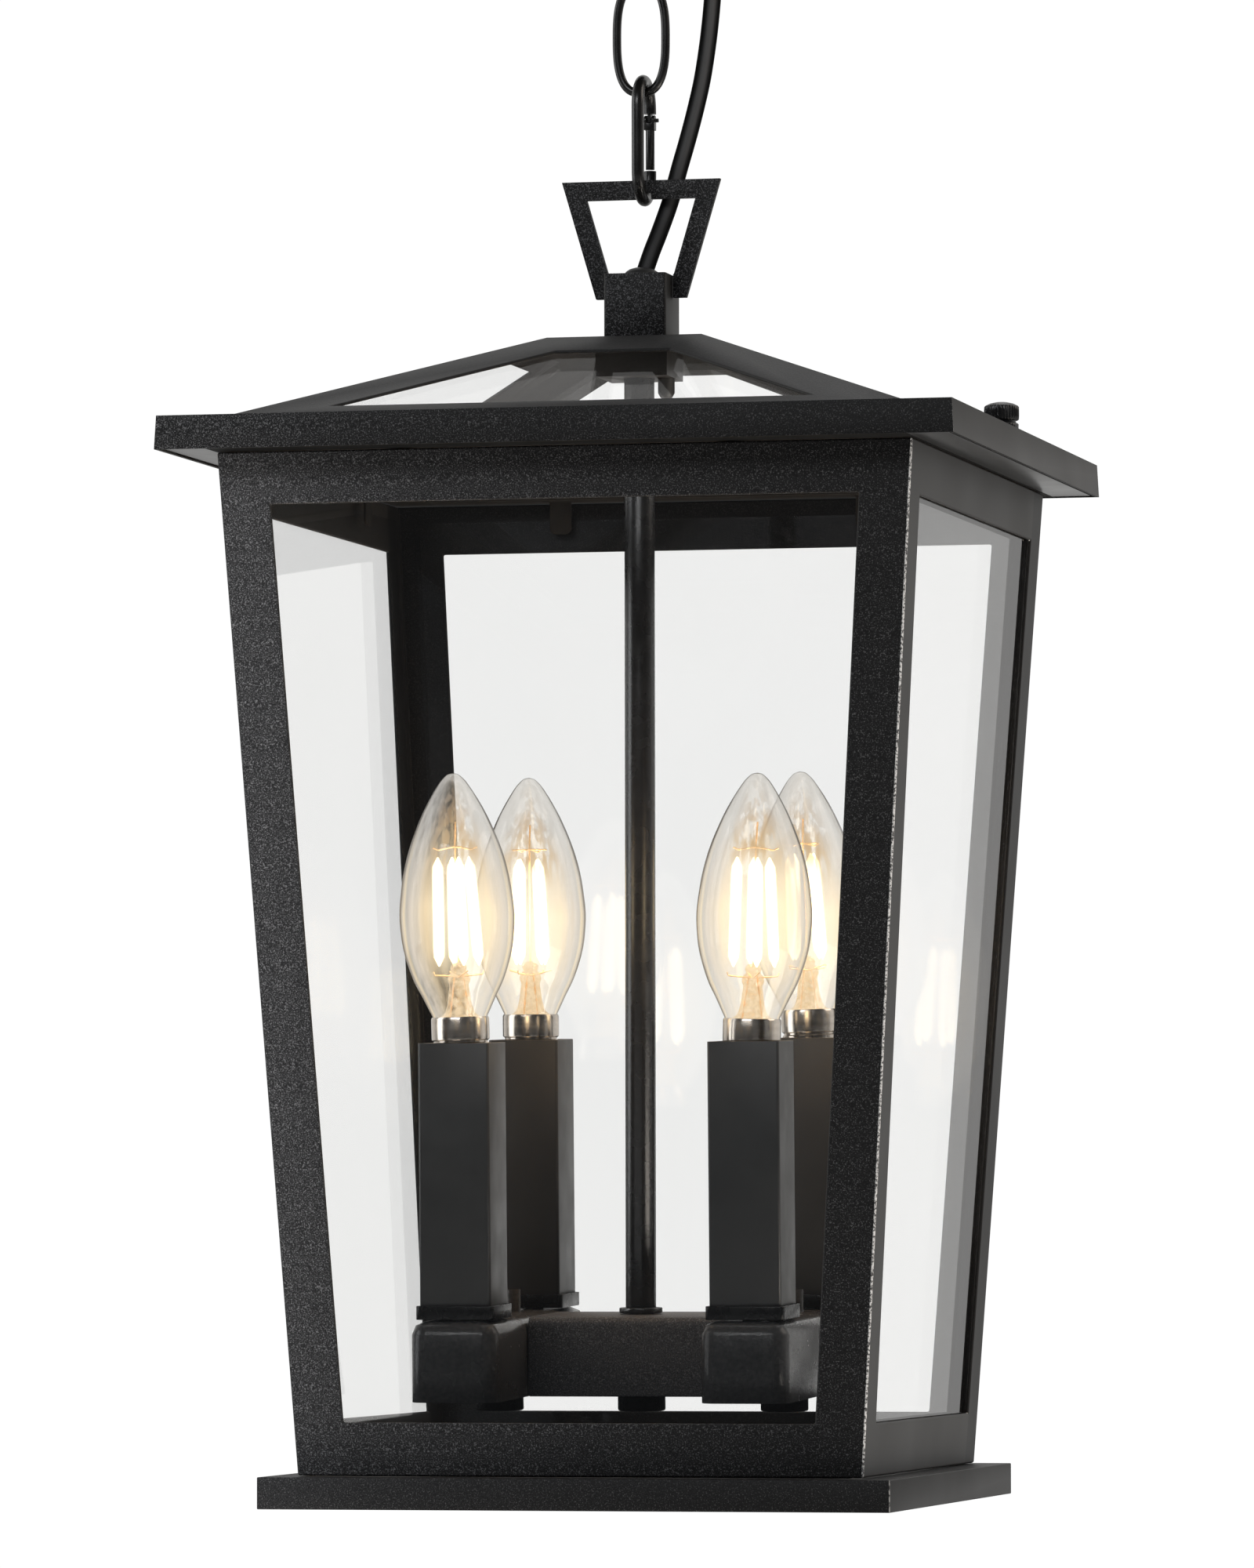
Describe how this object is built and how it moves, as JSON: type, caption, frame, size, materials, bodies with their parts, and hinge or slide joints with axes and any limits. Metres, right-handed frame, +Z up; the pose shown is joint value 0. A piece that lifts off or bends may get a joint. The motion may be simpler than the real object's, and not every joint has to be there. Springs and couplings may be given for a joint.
{
  "type": "hanging lantern",
  "caption": "Square tapering black metal lantern with clear glass sides and roof, candle lamps on a central rod, hung by a carabiner and chain link from a ceiling canopy.",
  "frame": {"origin": "centre of the mounting strap's upper face, in the plane of the ceiling", "axes": "+Z up, away from the lantern; +Y towards the back; +X to the right seen from the front"},
  "size_m": [0.241, 0.241, 0.513],
  "materials": {
    "black_powder_coat": "orange-peel powder coat with a fine sparkle",
    "satin_black": "smooth satin paint",
    "gloss_black": "gloss paint",
    "black_wire": "glossy black over drawn wire",
    "zinc_steel": "zinc plated",
    "cord_jacket": "smooth satin vinyl",
    "black_rubber": "moulded rubber",
    "socket_white": "white thermoset",
    "clear_glass": "clear float glass",
    "bulb_glass": "clear blown glass, nickel screw cap"
  },
  "bodies": {
    "ceiling_fitting": {"mounting_strap": "zinc_steel", "canopy": "black_powder_coat", "canopy_screw_front": "gloss_black", "canopy_screw_back": "gloss_black", "canopy_loop": "black_wire", "canopy_loop_nut": "zinc_steel", "canopy_cord_grip": "black_rubber", "supply_cord_upper": "cord_jacket"},
    "chain_link": {"chain_link": "black_wire"},
    "carabiner": {"carabiner_hook": "black_wire", "supply_cord_middle": "cord_jacket"},
    "carabiner_gate": {"carabiner_gate": "black_wire"},
    "hood": {"hanging_loop": "black_powder_coat", "neck_tube": "black_powder_coat", "cord_grommet": "black_rubber", "supply_cord_lower": "cord_jacket", "roof_frame": "black_powder_coat", "front_roof_pane": "clear_glass", "right_roof_pane": "clear_glass", "back_roof_pane": "clear_glass", "left_roof_pane": "clear_glass", "eave_pan": "black_powder_coat", "rod_bracket": "satin_black", "rod_top_nut": "zinc_steel", "centre_rod": "satin_black", "rod_flange": "satin_black", "crossbar": "black_powder_coat", "side_bar_left": "gloss_black", "side_bar_right": "gloss_black", "coupling_left": "gloss_black", "coupling_centre": "gloss_black", "coupling_right": "gloss_black", "front_left_cup": "gloss_black", "front_left_sleeve": "satin_black", "front_left_socket": "socket_white", "front_right_cup": "gloss_black", "front_right_sleeve": "satin_black", "front_right_socket": "socket_white", "back_left_cup": "gloss_black", "back_left_sleeve": "satin_black", "back_left_socket": "socket_white", "back_right_cup": "gloss_black", "back_right_sleeve": "satin_black", "back_right_socket": "socket_white"},
    "cage": {"front_frame": "black_powder_coat", "right_frame": "black_powder_coat", "back_frame": "black_powder_coat", "left_frame": "black_powder_coat", "front_pane": "clear_glass", "right_pane": "clear_glass", "back_pane": "clear_glass", "left_pane": "clear_glass", "cage_top_flange": "black_powder_coat", "base_pan": "black_powder_coat"},
    "thumb_nut_left": {"thumb_nut_left": "gloss_black"},
    "thumb_nut_right": {"thumb_nut_right": "gloss_black"},
    "front_left_bulb": {"front_left_bulb": "bulb_glass"},
    "front_right_bulb": {"front_right_bulb": "bulb_glass"},
    "back_left_bulb": {"back_left_bulb": "bulb_glass"},
    "back_right_bulb": {"back_right_bulb": "bulb_glass"}
  },
  "joints": [
    {"name": "link_swing", "type": "hinge", "parent": "ceiling_fitting", "child": "chain_link", "pos_m": [0, 0, -0.0517], "axis": [0, 1, 0], "range_deg": [-20, 20], "deforming": ["supply_cord_upper"]},
    {"name": "carabiner_swing", "type": "hinge", "parent": "chain_link", "child": "carabiner", "pos_m": [0.0008, 0, -0.0822], "axis": [1, 0, 0], "range_deg": [-20, 20], "deforming": ["supply_cord_middle"]},
    {"name": "gate_open", "type": "hinge", "parent": "carabiner", "child": "carabiner_gate", "pos_m": [0.0008, 0.0084, -0.0898], "axis": [-1, 0, 0], "range_deg": [0, 25], "stiffness_Nm_per_rad": 0.004, "springref_deg": -28.65},
    {"name": "lantern_swing", "type": "hinge", "parent": "carabiner", "child": "hood", "pos_m": [0.0008, 0, -0.1122], "axis": [1, 0, 0], "range_deg": [-15, 15], "deforming": ["supply_cord_lower"]},
    {"name": "cage_drop", "type": "slide", "parent": "hood", "child": "cage", "axis": [0, 0, 1], "range_m": [-0.3, 0]},
    {"name": "thumb_nut_left_lift", "type": "slide", "parent": "hood", "child": "thumb_nut_left", "axis": [0, 0, 1], "range_m": [0, 0.012]},
    {"name": "thumb_nut_right_lift", "type": "slide", "parent": "hood", "child": "thumb_nut_right", "axis": [0, 0, 1], "range_m": [0, 0.012]},
    {"name": "front_left_bulb_unscrew", "type": "slide", "parent": "hood", "child": "front_left_bulb", "axis": [0, -0.0314, 0.9995], "range_m": [0, 0.03]},
    {"name": "front_right_bulb_unscrew", "type": "slide", "parent": "hood", "child": "front_right_bulb", "axis": [0, -0.0314, 0.9995], "range_m": [0, 0.03]},
    {"name": "back_left_bulb_unscrew", "type": "slide", "parent": "hood", "child": "back_left_bulb", "axis": [0, -0.0314, 0.9995], "range_m": [0, 0.03]},
    {"name": "back_right_bulb_unscrew", "type": "slide", "parent": "hood", "child": "back_right_bulb", "axis": [0, -0.0314, 0.9995], "range_m": [0, 0.03]}
  ]
}
